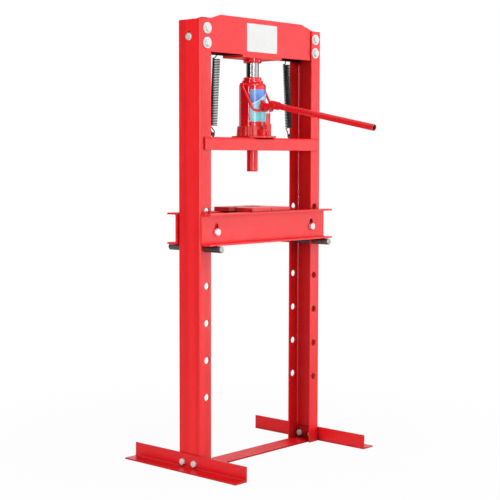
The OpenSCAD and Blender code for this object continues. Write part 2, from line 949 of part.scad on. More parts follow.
module fulcrum_pin() {
    reach = cheek_in + cheek_t + rest;
    color(red) translate([0, fulcrum_y, fulcrum_z]) {
        bar_x(fulcrum_pin_d, 2 * reach);
        left_and_right() translate([reach + past, 0, 0]) bar_x(fulcrum_pin_d + 4, 2 * past);
    }
}

module bail_studs() {
    reach = bail_x + bail_eye_half + rest;
    color(red) left_and_right() difference() {
        union() {
            translate([reach / 2, 0, bail_z]) bar_x(stud_d, reach);
            translate([reach, 0, bail_z]) rotate([0, 90, 0]) cylinder(d = stud_head_d, h = stud_head_t);
        }
        tank_solid();
    }
}

module pump_cylinder() {
    color(zinc) translate([0, -pump_reach, 0]) difference() {
        translate([0, 0, barrel_low]) cylinder(d = barrel_d, h = barrel_top - barrel_low);
        translate([0, 0, barrel_floor]) cylinder(d = plunger_d + 2 * fit, h = barrel_top);
    }
}

// Lever, handle and plunger

// Places along the handle's axis, measured from the fulcrum, above it by the socket's rise
module along_handle(start) {
    translate([0, fulcrum_y, fulcrum_z]) rotate([90 + handle_tilt, 0, 0]) {
        translate([0, socket_rise, start]) children();
    }
}

module lever_cheek() {
    reach = socket_start + socket_len / 2;
    ahead = [-cos(handle_tilt), -sin(handle_tilt)];
    above = [-sin(handle_tilt), cos(handle_tilt)];
    pivot = [fulcrum_y, fulcrum_z];
    tip = pivot + reach * ahead + socket_rise * above;
    rounded_outline([pivot, tip, [-pump_reach, crank_z]], cheek_r);
}

module handle_socket() {
    color(red) difference() {
        union() {
            along_handle(socket_start) cylinder(d = socket_d, h = socket_len);
            left_and_right() translate([cheek_in + cheek_t / 2, 0, 0]) along_x(cheek_t) lever_cheek();
        }
        along_handle(socket_start + socket_floor) cylinder(d = handle_d + 2 * handle_play, h = socket_len);
        translate([0, fulcrum_y, fulcrum_z]) bar_x(fulcrum_pin_d + 2 * fit, 4 * cheek_in);
        translate([0, -pump_reach, crank_z]) bar_x(crank_pin_d, 4 * cheek_in);
    }
}

module pump_handle() {
    color(red) along_handle(socket_start + socket_floor) {
        tube(handle_d, handle_d - 2 * handle_wall, handle_len);
    }
}

// Plunger with a level slot across its head, in which the lever's pin slides as it swings
module pump_plunger() {
    inner = [-pump_reach, crank_z];
    outer = [fulcrum_y - crank_r, crank_z];
    color(chrome) difference() {
        union() {
            translate([0, -pump_reach, plunger_low]) cylinder(d = plunger_d, h = crank_z - plunger_low);
            along_x(2 * head_half) slot(inner, outer, head_d);
        }
        along_x(4 * head_half) slot(inner, outer, crank_pin_d + 2 * crank_play);
    }
}

module lever_pin() {
    color(red) translate([0, -pump_reach, crank_z]) bar_x(crank_pin_d, 2 * (cheek_in + cheek_t + past));
}

module release_valve() {
    color(red) translate([valve_x, -block_front, valve_z]) rotate([90, 0, 0]) difference() {
        union() {
            translate([0, 0, past - valve_depth]) cylinder(d = valve_d, h = valve_depth);
            translate([0, 0, rest]) cylinder(d = valve_head_d, h = valve_head_t);
        }
        translate([0, 0, valve_head_t]) cube([valve_slot, 2 * valve_head_d, valve_head_t], center = true);
    }
}

// Bail: a bent rod that hangs from the reservoir's sides and leans on its front

module bail_corner() {
    rotate_extrude(angle = 90) translate([bail_bend, 0]) circle(d = bail_d);
}

module bail_half() {
    translate([bail_x, 0, bail_bend - bail_len]) cylinder(d = bail_d, h = bail_len - bail_bend);
    translate([bail_x - bail_bend, 0, bail_bend - bail_len]) rotate([-90, 0, 0]) bail_corner();
    translate([0, 0, -bail_len]) rotate([0, 90, 0]) cylinder(d = bail_d, h = bail_x - bail_bend);
    translate([bail_x, 0, 0]) bar_x(bail_eye_d, 2 * bail_eye_half);
}

module jack_bail() {
    color(red) translate([0, 0, bail_z]) rotate([-bail_lean, 0, 0]) difference() {
        left_and_right() bail_half();
        bar_x(stud_d + 2 * fit, 4 * bail_x);
    }
}

// Bed

module bed_channel(inside) {
    color(red) difference() {
        translate([0, -inside, bed_low + bed_h / 2]) rotate([90, 0, -90]) {
            linear_extrude(bed_len, center = true) channel(bed_h, bed_flange, bed_wall, bed_bend);
        }
        left_and_right() translate([spacer_x, -inside, bed_bolt_z]) along_y(2 * bed_wall + 2 * past) {
            slot([0, 0], [0, bed_slot_rise], bed_bolt_d + drill);
        }
    }
}

module bed_channel_front() {
    bed_channel(bed_front_in);
}

module bed_channel_rear() {
    mirror([0, 1, 0]) bed_channel(bed_rear_in);
}

module bed_spacers() {
    color(red) left_and_right() translate([spacer_x, bed_rear_in, bed_bolt_z]) rotate([90, 0, 0]) {
        tube(spacer_d, bed_bolt_d + drill, 2 * bed_in);
    }
}

module bed_bolts() {
    grip = 2 * (bed_in + bed_wall) + bed_nut_h + thread_out;
    start = bed_front_in + bed_wall;
    color(zinc) left_and_right() translate([spacer_x, -start, bed_bolt_z]) rotate([-90, 0, 0]) {
        bolt(bed_bolt_d, grip, bed_bolt_af, bed_bolt_head);
    }
}

module bed_nuts() {
    start = bed_rear_in + bed_wall;
    color(zinc) left_and_right() translate([spacer_x, start, bed_bolt_z]) rotate([-90, 0, 0]) {
        nut(bed_bolt_d, bed_bolt_af, bed_nut_h);
    }
}

// Outline of the right plate: V in its outer side, round slot in its inner side
module plate_outline() {
    outer = plate_w - plate_corner;
    half = plate_len / 2 - plate_corner;
    difference() {
        rounded_outline([
            [plate_split + plate_corner, -half], [outer, -half], [outer, half],
            [plate_split + plate_corner, half]
        ], plate_corner);
        polygon([[plate_w + past, -vee - past], [plate_w + past, vee + past], [plate_w - vee, 0]]);
        slot([0, 0], [window_d / 2, 0], window_d);
    }
}

module arbor_plate() {
    color(red) translate([0, 0, plate_low]) linear_extrude(plate_h) plate_outline();
}

module arbor_plate_left() {
    mirror([1, 0, 0]) arbor_plate();
}

module arbor_plate_right() {
    arbor_plate();
}

module bed_pin() {
    color(dark_steel) translate([-pin_x, pin_len / 2, bed_pin_z]) rotate([90, 0, 0]) {
        chamfered_bar(pin_d, pin_len, pin_chamfer);
    }
}

module bed_pin_left() {
    bed_pin();
}

module bed_pin_right() {
    mirror([1, 0, 0]) bed_pin();
}

post_left();
post_right();
foot_left();
foot_right();
floor_tie();
foot_bolts();
foot_nuts();
top_beam_front();
top_beam_rear();
beam_ribs();
beam_end_plates();
jack_seat_plate();
spring_rods();
beam_bolts();
beam_washers();
beam_nuts();
web_bolts();
web_washers();
web_nuts();
spring_left();
spring_right();
jack_ram();
ram_seal();
ram_cap();
bolster();
bolster_pad();
press_ram();
spring_eyes();
eye_nuts();
jack_base();
jack_reservoir();
jack_cylinder();
jack_gland();
ram_wiper();
filler_plug();
fulcrum_lug();
fulcrum_pin();
bail_studs();
pump_cylinder();
handle_socket();
lever_pin();
pump_handle();
pump_plunger();
release_valve();
jack_bail();
bed_channel_front();
bed_channel_rear();
bed_spacers();
bed_bolts();
bed_nuts();
arbor_plate_left();
arbor_plate_right();
bed_pin_left();
bed_pin_right();
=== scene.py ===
import json
import math

import bmesh
import bpy
from mathutils import Matrix, Vector


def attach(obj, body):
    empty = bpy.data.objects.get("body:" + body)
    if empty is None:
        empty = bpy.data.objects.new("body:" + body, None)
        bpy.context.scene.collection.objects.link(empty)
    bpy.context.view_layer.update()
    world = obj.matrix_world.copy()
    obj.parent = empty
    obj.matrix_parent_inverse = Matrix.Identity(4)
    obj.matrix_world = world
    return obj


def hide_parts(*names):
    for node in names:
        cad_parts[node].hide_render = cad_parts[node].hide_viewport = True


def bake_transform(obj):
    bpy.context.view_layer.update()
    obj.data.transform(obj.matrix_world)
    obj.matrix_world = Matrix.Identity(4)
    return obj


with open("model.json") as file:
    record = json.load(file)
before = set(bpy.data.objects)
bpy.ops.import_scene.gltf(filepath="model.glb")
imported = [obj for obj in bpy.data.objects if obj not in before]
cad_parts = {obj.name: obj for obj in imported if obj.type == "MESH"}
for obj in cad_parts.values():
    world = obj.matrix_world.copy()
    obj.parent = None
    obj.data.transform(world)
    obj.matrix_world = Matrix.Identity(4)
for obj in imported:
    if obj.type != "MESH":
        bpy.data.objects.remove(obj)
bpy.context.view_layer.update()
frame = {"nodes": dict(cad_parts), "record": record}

MM = 0.001
NODES = frame["nodes"]
SIDES = (-1, 1)
WHITE = (1.0, 1.0, 1.0, 1.0)


# Camera, solved from the uprights' edges and the pin holes in the photograph

CAMERA_PLACE = (-2.63355, -2.38432, 0.85211)
CAMERA_YAW, CAMERA_PITCH, CAMERA_ROLL = 47.7487, 4.2518, 0.1248
SENSOR_WIDTH, FOCAL_LENGTH, FAR_CLIP = 36.0, 89.743, 60.0


def place_camera():
    yaw, pitch, roll = (math.radians(angle) for angle in (CAMERA_YAW, CAMERA_PITCH, CAMERA_ROLL))
    forward = Vector((math.sin(yaw) * math.cos(pitch), math.cos(yaw) * math.cos(pitch), -math.sin(pitch)))
    right = Vector((math.cos(yaw), -math.sin(yaw), 0.0))
    up = right.cross(forward)
    turned_right = math.cos(roll) * right + math.sin(roll) * up
    turned_up = -math.sin(roll) * right + math.cos(roll) * up
    data = bpy.data.cameras.new("camera")
    data.sensor_width = SENSOR_WIDTH
    data.lens = FOCAL_LENGTH
    data.clip_end = FAR_CLIP
    camera = bpy.data.objects.new("camera", data)
    bpy.context.collection.objects.link(camera)
    basis = Matrix((turned_right, turned_up, -forward)).transposed().to_4x4()
    camera.matrix_world = Matrix.Translation(CAMERA_PLACE) @ basis
    bpy.context.scene.camera = camera


# Light and stage, in metres and watts

SOFT_LIGHT = 0.22
FLOOR_HALF, FLOOR_DROP, FLOOR_TONE = 14.0, 0.0004, 0.95
GLOW_START, GLOW_END = 0.25, 1.5
GLOW_NEAR, GLOW_FAR = 0.95, 1.0
FLAG_FOOT, FLAG_HEAD, FLAG_ROUGHNESS = -0.2, 2.8, 0.9

# Name, middle, half width, tone
FLAGS = (
    ("flag_rear", (-2.3, 2.1), 2.0, 0.02),
    ("flag_left", (-2.9, -1.6), 0.62, 0.1),
    ("flag_front", (-4.09, -3.68), 0.45, 0.01),
    ("flag_right", (3.5, -0.2), 1.5, 0.35),
)
# Name, place, height on the press's axis that it aims at, width, height, power, whether only gloss sees it
LAMPS = (
    ("key", (0.73, -4.14, 1.0), 0.5, 2.0, 2.2, 14, False),
    ("fill", (-3.4, -2.4, 1.2), 0.6, 1.2, 1.2, 19, False),
    ("glint_left", (-4.4, -0.92, 1.0), 0.8, 0.4, 1.8, 46, True),
    ("glint_front", (-1.9, -3.76, 1.0), 0.8, 0.5, 2.0, 90, True),
    ("sheen", (3.0, -3.1, 0.9), 0.5, 2.8, 2.8, 58, False),
    ("strip", (-4.6, 0.0, 1.1), 0.7, 0.4, 1.8, 76, False),
    ("rear", (-1.6, 4.0, 1.2), 0.55, 1.6, 1.6, 10, False),
    ("top", (-0.3, -1.8, 3.4), 0.6, 2.0, 2.0, 58, False),
    ("low", (1.5, -2.2, 0.2), 0.05, 1.6, 0.4, 6, False),
)


def area_light(name, place, aim_height, width, height, power, gloss_only):
    data = bpy.data.lights.new(name, "AREA")
    data.shape = "RECTANGLE"
    data.size, data.size_y = width, height
    data.energy = power
    lamp = bpy.data.objects.new(name, data)
    bpy.context.collection.objects.link(lamp)
    lamp.location = place
    aim = Vector((0.0, 0.0, aim_height)) - Vector(place)
    lamp.rotation_euler = aim.to_track_quat("-Z", "Y").to_euler()
    lamp.visible_diffuse = not gloss_only


def make_world():
    world = bpy.data.worlds.new("studio")
    bpy.context.scene.world = world
    world.use_nodes = True
    tree = world.node_tree
    tree.nodes.clear()
    out = tree.nodes.new("ShaderNodeOutputWorld")
    mix = tree.nodes.new("ShaderNodeMixShader")
    soft = tree.nodes.new("ShaderNodeBackground")
    white = tree.nodes.new("ShaderNodeBackground")
    path = tree.nodes.new("ShaderNodeLightPath")
    shown = tree.nodes.new("ShaderNodeMath")
    through = tree.nodes.new("ShaderNodeMath")
    shown.operation = through.operation = "MAXIMUM"
    soft.inputs["Color"].default_value = WHITE
    soft.inputs["Strength"].default_value = SOFT_LIGHT
    white.inputs["Color"].default_value = WHITE
    white.inputs["Strength"].default_value = 1.0
    tree.links.new(path.outputs["Is Camera Ray"], shown.inputs[0])
    tree.links.new(path.outputs["Is Glossy Ray"], shown.inputs[1])
    tree.links.new(shown.outputs[0], through.inputs[0])
    tree.links.new(path.outputs["Is Transmission Ray"], through.inputs[1])
    tree.links.new(through.outputs[0], mix.inputs["Fac"])
    tree.links.new(soft.outputs[0], mix.inputs[1])
    tree.links.new(white.outputs[0], mix.inputs[2])
    tree.links.new(mix.outputs[0], out.inputs["Surface"])


def make_floor():
    mesh = bpy.data.meshes.new("floor")
    corners = [(sx * FLOOR_HALF, sy * FLOOR_HALF, 0) for sx, sy in ((-1, -1), (1, -1), (1, 1), (-1, 1))]
    mesh.from_pydata(corners, [], [(0, 1, 2, 3)])
    floor = bpy.data.objects.new("floor", mesh)
    floor.location.z = -FLOOR_DROP
    bpy.context.collection.objects.link(floor)
    material = bpy.data.materials.new("floor")
    material.use_nodes = True
    tree = material.node_tree
    tree.nodes.clear()
    out = tree.nodes.new("ShaderNodeOutputMaterial")
    mix = tree.nodes.new("ShaderNodeMixShader")
    matte = tree.nodes.new("ShaderNodeBsdfDiffuse")
    glow = tree.nodes.new("ShaderNodeEmission")
    path = tree.nodes.new("ShaderNodeLightPath")
    spot = tree.nodes.new("ShaderNodeTexCoord")
    away = tree.nodes.new("ShaderNodeVectorMath")
    away.operation = "LENGTH"
    fade = tree.nodes.new("ShaderNodeMapRange")
    fade.interpolation_type = "SMOOTHSTEP"
    for socket, value in (("From Min", GLOW_START), ("From Max", GLOW_END),
                          ("To Min", GLOW_NEAR), ("To Max", GLOW_FAR)):
        fade.inputs[socket].default_value = value
    share = tree.nodes.new("ShaderNodeMath")
    share.operation = "MULTIPLY"
    tree.links.new(spot.outputs["Object"], away.inputs[0])
    tree.links.new(away.outputs["Value"], fade.inputs["Value"])
    tree.links.new(fade.outputs[0], share.inputs[1])
    matte.inputs["Color"].default_value = (FLOOR_TONE, FLOOR_TONE, FLOOR_TONE, 1.0)
    glow.inputs["Color"].default_value = WHITE
    glow.inputs["Strength"].default_value = 1.0
    tree.links.new(path.outputs["Is Camera Ray"], share.inputs[0])
    tree.links.new(share.outputs[0], mix.inputs["Fac"])
    tree.links.new(matte.outputs[0], mix.inputs[1])
    tree.links.new(glow.outputs[0], mix.inputs[2])
    tree.links.new(mix.outputs[0], out.inputs["Surface"])
    mesh.materials.append(material)


def make_flag(name, middle, half, tone):
    """A dark card beside the press, as in a studio: only gloss sees it."""
    middle = Vector((*middle, 0.0))
    aside = Vector((middle.y, -middle.x, 0.0)).normalized()
    corners = [middle + sx * half * aside + Vector((0, 0, z))
               for sx, z in ((-1, FLAG_FOOT), (1, FLAG_FOOT), (1, FLAG_HEAD), (-1, FLAG_HEAD))]
    mesh = bpy.data.meshes.new(name)
    mesh.from_pydata(corners, [], [(0, 1, 2, 3)])
    flag = bpy.data.objects.new(name, mesh)
    bpy.context.collection.objects.link(flag)
    material = bpy.data.materials.new(name)
    material.use_nodes = True
    shader = material.node_tree.nodes["Principled BSDF"]
    shader.inputs["Base Color"].default_value = (tone, tone, tone, 1.0)
    shader.inputs["Roughness"].default_value = FLAG_ROUGHNESS
    mesh.materials.append(material)
    flag.visible_camera = flag.visible_diffuse = flag.visible_shadow = flag.visible_transmission = False


# Materials

EDGE_NONE, EDGE_FULL = 0.995, 0.86
# Painted shade: how it fades out under an open top, and the share of it kept at the floor
ABOVE_ALL, TOP_FADE, SHADE_AT_FLOOR = 9.0, 0.03, 0.55
STREAK_RED, THIN_RED, THIN_SHARE = (0.67, 0.0035, 0.007), (0.95, 0.07, 0.07), 0.25
RUBBED_STEEL = (0.42, 0.42, 0.42)


class Shader:
    """A node material built up in a few calls."""

    def __init__(self, name):
        self.material = bpy.data.materials.new(name)
        self.material.use_nodes = True
        self.tree = self.material.node_tree
        self.tree.nodes.clear()
        self.out = self.tree.nodes.new("ShaderNodeOutputMaterial")
        self.bsdf = self.tree.nodes.new("ShaderNodeBsdfPrincipled")
        self.join(self.bsdf.outputs[0], self.out.inputs["Surface"])
        self.place = self.tree.nodes.new("ShaderNodeTexCoord").outputs["Object"]

    def join(self, source, target):
        self.tree.links.new(source, target)

    def set(self, **values):
        for name, value in values.items():
            self.bsdf.inputs[name.replace("_", " ")].default_value = value

    def stretched(self, scale):
        node = self.tree.nodes.new("ShaderNodeMapping")
        node.inputs["Scale"].default_value = scale
        self.join(self.place, node.inputs["Vector"])
        return node.outputs[0]

    def noise(self, scale, detail=3.0, rough=0.5, at=None):
        node = self.tree.nodes.new("ShaderNodeTexNoise")
        node.inputs["Scale"].default_value = scale
        node.inputs["Detail"].default_value = detail
        node.inputs["Roughness"].default_value = rough
        self.join(at or self.place, node.inputs["Vector"])
        return node.outputs["Fac"]

    def cells(self, scale):
        node = self.tree.nodes.new("ShaderNodeTexVoronoi")
        node.inputs["Scale"].default_value = scale
        self.join(self.place, node.inputs["Vector"])
        return node.outputs["Color"]

    def ramp(self, source, stops):
        node = self.tree.nodes.new("ShaderNodeValToRGB")
        points = node.color_ramp.elements
        while len(points) < len(stops):
            points.new(0.5)
        for point, (position, colour) in zip(points, stops):
            point.position = position
            point.color = (*colour, 1.0)
        self.join(source, node.inputs["Fac"])
        return node.outputs["Color"]

    def span(self, source, low, high, to_low, to_high):
        node = self.tree.nodes.new("ShaderNodeMapRange")
        for name, value in (("From Min", low), ("From Max", high), ("To Min", to_low), ("To Max", to_high)):
            node.inputs[name].default_value = value
        self.join(source, node.inputs["Value"])
        return node.outputs[0]

    def math(self, operation, a, b):
        node = self.tree.nodes.new("ShaderNodeMath")
        node.operation = operation
        for socket, value in zip(node.inputs, (a, b)):
            if isinstance(value, (int, float)):
                socket.default_value = value
            else:
                self.join(value, socket)
        return node.outputs[0]

    def mix(self, factor, a, b):
        node = self.tree.nodes.new("ShaderNodeMix")
        node.data_type = "RGBA"
        for socket, value in ((node.inputs["Factor"], factor), (node.inputs[6], a), (node.inputs[7], b)):
            if isinstance(value, tuple):
                socket.default_value = (*value, 1.0)
            else:
                self.join(value, socket)
        return node.outputs[2]

    def soft_edge(self, radius):
        node = self.tree.nodes.new("ShaderNodeBevel")
        node.samples = 6
        node.inputs["Radius"].default_value = radius
        return node.outputs[0]

    def edge_mask(self, rounded):
        """How far the rounded normal leans away from the flat one: near 0 on faces, more at edges."""
        flat = self.tree.nodes.new("ShaderNodeNewGeometry").outputs["Normal"]
        dot = self.tree.nodes.new("ShaderNodeVectorMath")
        dot.operation = "DOT_PRODUCT"
        self.join(rounded, dot.inputs[0])
        self.join(flat, dot.inputs[1])
        return self.span(dot.outputs["Value"], EDGE_NONE, EDGE_FULL, 0.0, 1.0)

    def painted_shade(self, colour, reach, stops, open_above, lit_below):
        """Paints shade into a colour in hollows and corners, up to an open top, and paints less of it just
        above the pale floor, as painted light from the floor.
        """
        node = self.tree.nodes.new("ShaderNodeAmbientOcclusion")
        node.samples = 8
        node.inputs["Distance"].default_value = reach
        shade = self.ramp(node.outputs["AO"], [(at, (level, level, level)) for at, level in stops])
        mix = self.tree.nodes.new("ShaderNodeMix")
        mix.data_type = "RGBA"
        mix.blend_type = "MULTIPLY"
        split = self.tree.nodes.new("ShaderNodeSeparateXYZ")
        self.join(self.place, split.inputs[0])
        factor = self.span(split.outputs["Z"], open_above - TOP_FADE, open_above, 1.0, 0.0)
        # Painted light from the pale floor: less painted shade up to lit_below above it
        if lit_below:
            rise = self.span(split.outputs["Z"], 0.0, lit_below, SHADE_AT_FLOOR, 1.0)
            factor = self.math("MULTIPLY", factor, rise)
        self.join(factor, mix.inputs["Factor"])
        self.join(colour, mix.inputs[6])
        self.join(shade, mix.inputs[7])
        return mix.outputs[2]

    def bump(self, height, strength, distance, normal=None):
        node = self.tree.nodes.new("ShaderNodeBump")
        node.inputs["Strength"].default_value = strength
        node.inputs["Distance"].default_value = distance
        self.join(height, node.inputs["Height"])
        if normal is not None:
            self.join(normal, node.inputs["Normal"])
        self.join(node.outputs[0], self.bsdf.inputs["Normal"])


def red_paint(name, base, deep, bright, peel=0.05, grain=180.0, edge=0.0011, rough=(0.34, 0.44), reach=0.06,
              stops=((0.12, 0.12), (0.42, 0.8), (0.66, 1.0)), streaks=0.0,
              open_above=ABOVE_ALL, lit_below=0.0, gloss=0.4):
    """Powder coat: slow drift in tone, orange peel, thin paler paint along the edges, and painted shade in
    hollows and corners.
    """
    s = Shader(name)
    drift = s.noise(7.0, 4.0, 0.55)
    colour = s.ramp(drift, [(0.3, deep), (0.52, base), (0.75, bright)])
    if streaks:
        rolled = s.noise(1.0, 3.0, 0.6, s.stretched((46.0, 46.0, 0.5)))
        colour = s.mix(s.span(rolled, 0.4, 0.6, streaks, 0.0), colour, STREAK_RED)
    rounded = s.soft_edge(edge)
    edges = s.edge_mask(rounded)
    broken = s.span(s.noise(90.0, 5.0, 0.65), 0.42, 0.62, 0.15, 1.0)
    thin = s.math("MULTIPLY", s.math("MULTIPLY", edges, broken), THIN_SHARE)
    painted = s.mix(thin, colour, THIN_RED)
    # Painted shade: the colour darkens in hollows and corners, up to open_above, with less of it below
    # lit_below
    s.join(s.painted_shade(painted, reach, stops, open_above, lit_below), s.bsdf.inputs["Base Color"])
    s.join(s.span(s.noise(38.0, 4.0, 0.6), 0.3, 0.7, *rough), s.bsdf.inputs["Roughness"])
    s.bump(s.noise(grain, 2.0, 0.5), peel, 0.0004, rounded)
    s.set(Specular_IOR_Level=gloss)
    return s.material


def zinc_plate(name, low, mid, high):
    """Bright zinc: pale, with a faint spangle and brushed streaks."""
    s = Shader(name)
    spangle = s.span(s.cells(420.0), 0.0, 1.0, 0.0, 1.0)
    cloud = s.noise(140.0, 4.0, 0.6)
    tone = s.math("ADD", s.math("MULTIPLY", spangle, 0.35), s.math("MULTIPLY", cloud, 0.65))
    s.join(s.ramp(tone, [(0.25, low), (0.5, mid), (0.75, high)]), s.bsdf.inputs["Base Color"])
    s.join(s.span(cloud, 0.3, 0.7, 0.3, 0.48), s.bsdf.inputs["Roughness"])
    s.bump(s.noise(900.0, 2.0, 0.5), 0.08, 0.0003, s.soft_edge(0.0006))
    s.set(Metallic=0.15)
    return s.material


def chrome_plate():
    """Hard chrome with fine grinding lines round the bar."""
    s = Shader("chrome")
    lines = s.noise(60.0, 3.0, 0.6, s.stretched((0.6, 0.6, 60.0)))
    s.join(s.ramp(lines, [(0.3, (0.17, 0.17, 0.172)), (0.55, (0.23, 0.23, 0.232)), (0.8, (0.3, 0.3, 0.3))]),
           s.bsdf.inputs["Base Color"])
    s.join(s.span(lines, 0.3, 0.7, 0.14, 0.28), s.bsdf.inputs["Roughness"])
    s.bump(lines, 0.05, 0.0002, s.soft_edge(0.0005))
    s.set(Metallic=1.0)
    return s.material


def dark_steel(name, low, mid, high, rough=(0.34, 0.55), metal=0.85):
    """Oiled or blackened steel, with rubbed paler edges."""
    s = Shader(name)
    cloud = s.noise(60.0, 5.0, 0.62)
    colour = s.ramp(cloud, [(0.3, low), (0.5, mid), (0.72, high)])
    rounded = s.soft_edge(0.0008)
    rubbed = s.math("MULTIPLY", s.edge_mask(rounded), s.span(s.noise(150.0, 4.0, 0.6), 0.35, 0.65, 0.2, 0.9))
    s.join(s.mix(rubbed, colour, RUBBED_STEEL), s.bsdf.inputs["Base Color"])
    s.join(s.span(cloud, 0.3, 0.7, *rough), s.bsdf.inputs["Roughness"])
    s.bump(s.noise(700.0, 3.0, 0.55), 0.12, 0.0003, rounded)
    s.set(Metallic=metal)
    return s.material


def pin_steel():
    """Bar stock with a dark mill skin along its length and bright sawn ends."""
    s = Shader("pin_steel")
    along = s.noise(50.0, 5.0, 0.6, s.stretched((1.0, 0.12, 1.0)))
    skin = s.ramp(along, [(0.3, (0.05, 0.05, 0.052)), (0.5, (0.09, 0.09, 0.092)),
                          (0.72, (0.17, 0.165, 0.16))])
    facing = s.tree.nodes.new("ShaderNodeSeparateXYZ")
    coords = s.tree.nodes.new("ShaderNodeTexCoord")
    s.join(coords.outputs["Normal"], facing.inputs[0])
    cut = s.span(s.math("ABSOLUTE", facing.outputs["Y"], 0.0), 0.55, 0.75, 0.0, 1.0)
    saw = s.ramp(s.noise(40.0, 3.0, 0.6, s.stretched((1.0, 1.0, 26.0))),
                 [(0.3, (0.2, 0.2, 0.2)), (0.55, (0.28, 0.28, 0.275)), (0.75, (0.36, 0.355, 0.35))])
    s.join(s.mix(cut, skin, saw), s.bsdf.inputs["Base Color"])
    s.join(s.span(along, 0.3, 0.7, 0.34, 0.55), s.bsdf.inputs["Roughness"])
    s.bump(s.noise(600.0, 3.0, 0.55), 0.1, 0.0003, s.soft_edge(0.0006))
    s.set(Metallic=0.8)
    return s.material


def black_rubber():
    """Moulded rubber: near black, matt, with a fine grain."""
    s = Shader("rubber")
    s.join(s.ramp(s.noise(220.0, 4.0, 0.6), [(0.3, (0.012, 0.012, 0.012)), (0.6, (0.03, 0.03, 0.03)),
                                             (0.8, (0.055, 0.053, 0.05))]), s.bsdf.inputs["Base Color"])
    s.join(s.span(s.noise(90.0), 0.3, 0.7, 0.6, 0.85), s.bsdf.inputs["Roughness"])
    s.bump(s.noise(1400.0, 2.0), 0.25, 0.0003)
    return s.material


def white_film():
    """Blank vinyl label: faint cloud in the white, satin, slightly uneven."""
    s = Shader("label_film")
    s.join(s.ramp(s.noise(26.0, 4.0, 0.55), [(0.3, (0.68, 0.69, 0.68)), (0.55, (0.71, 0.72, 0.71)),
                                             (0.8, (0.74, 0.75, 0.74))]), s.bsdf.inputs["Base Color"])
    s.join(s.span(s.noise(40.0), 0.3, 0.7, 0.32, 0.46), s.bsdf.inputs["Roughness"])
    s.bump(s.noise(60.0, 3.0), 0.08, 0.0005)
    return s.material


def banded_film(low, high):
    """Plain printed wrap: two blues that meet on a slant with a pale line, no words."""
    s = Shader("wrap_film")
    split = s.tree.nodes.new("ShaderNodeSeparateXYZ")
    s.join(s.place, split.inputs[0])
    slant = s.math("MULTIPLY", s.math("ADD", split.outputs["X"], 0.012), -0.62)
    wander = s.math("MULTIPLY", s.math("SUBTRACT", s.noise(18.0, 2.0), 0.5), 0.002)
    height = s.math("ADD", s.math("ADD", split.outputs["Z"], wander), slant)
    level = s.span(height, low, high, 0.0, 1.0)
    pale = (0.76, 0.86, 0.9)
    bands = s.ramp(level, [(0.0, (0.14, 0.78, 0.94)), (0.25, (0.3, 0.9, 0.96)), (0.645, (0.2, 0.66, 0.94)),
                           (0.655, pale), (0.675, pale), (0.685, (0.04, 0.16, 0.68)),
                           (1.0, (0.11, 0.37, 0.8))])
    s.join(s.mix(s.span(s.noise(120.0, 4.0), 0.35, 0.7, 0.0, 0.1), bands, (0.5, 0.6, 0.7)),
           s.bsdf.inputs["Base Color"])
    s.join(s.span(s.noise(70.0), 0.3, 0.7, 0.22, 0.36), s.bsdf.inputs["Roughness"])
    s.bump(s.noise(80.0, 3.0), 0.06, 0.0004)
    return s.material


# The frame's red: base, deep and bright
FRAME_RED = (0.9, 0.007, 0.012), (0.86, 0.006, 0.01), (0.94, 0.008, 0.015)

PAINT = red_paint("red_paint", *FRAME_RED)
# The posts' red: stronger painted shade in their channels, less of it near the floor as painted floor light,
# and rolled streaks in the tone
POST_PAINT_SHADED = red_paint("post_paint_shaded", *FRAME_RED,
                       stops=((0.12, 0.1), (0.45, 0.58), (0.82, 1.0)), streaks=0.6, lit_below=0.12)
# The beam's red: heavy painted shade inside and under the beam, stopping at its open top
BEAM_PAINT_SHADED = red_paint("beam_paint_shaded", *FRAME_RED, reach=0.2,
                       stops=((0.25, 0.02), (0.5, 0.12), (0.66, 0.7), (0.9, 1.0)), open_above=1.205)
CASTING = red_paint("cast_red", (0.83, 0.007, 0.014), (0.72, 0.005, 0.01), (0.9, 0.009, 0.017),
                    peel=0.25, grain=260.0, edge=0.0016, rough=(0.3, 0.42), reach=0.02)
JACK_RED = red_paint("jack_red", (0.86, 0.007, 0.015), (0.79, 0.006, 0.012), (0.91, 0.009, 0.018),
                     peel=0.03, edge=0.0008, rough=(0.09, 0.15), reach=0.03)
# The feet's red: a darker copy of the frame's red, painted shade on the feet, with stronger painted shade in
# their bends
FOOT_PAINT_SHADED = red_paint("foot_paint_shaded", (0.74, 0.007, 0.012), (0.69, 0.006, 0.01), (0.78, 0.008, 0.015),
                       rough=(0.27, 0.35), reach=0.03,
                       stops=((0.2, 0.25), (0.5, 0.7), (0.75, 1.0)))
# The arbor plates' red: strong painted shade on their faces beside the left upright
PLATE_PAINT_SHADED = red_paint("plate_paint_shaded", *FRAME_RED, reach=0.12,
                        stops=((0.25, 0.1), (0.6, 0.4), (0.85, 1.0)))
# The tie's red: a brighter, less glossy copy of the frame's red, painted light on its upper face, with
# painted shade along its edges at the floor
TIE_PAINT_LIT_SHADED = red_paint("tie_paint_lit_shaded", (0.94, 0.008, 0.014), (0.9, 0.007, 0.012), (0.96, 0.01, 0.016),
                      stops=((0.3, 0.2), (0.55, 0.45), (0.8, 1.0)), gloss=0.16)
# The press ram's red: a glossier finish, and a brighter base than the frame's red as painted light on the ram
# under the bolster
RAM_PAINT_LIT = red_paint("ram_paint_lit", (0.92, 0.007, 0.015), (0.86, 0.006, 0.012), (0.95, 0.009, 0.018),
                      peel=0.03, edge=0.0008, rough=(0.16, 0.22), reach=0.03, gloss=0.3)
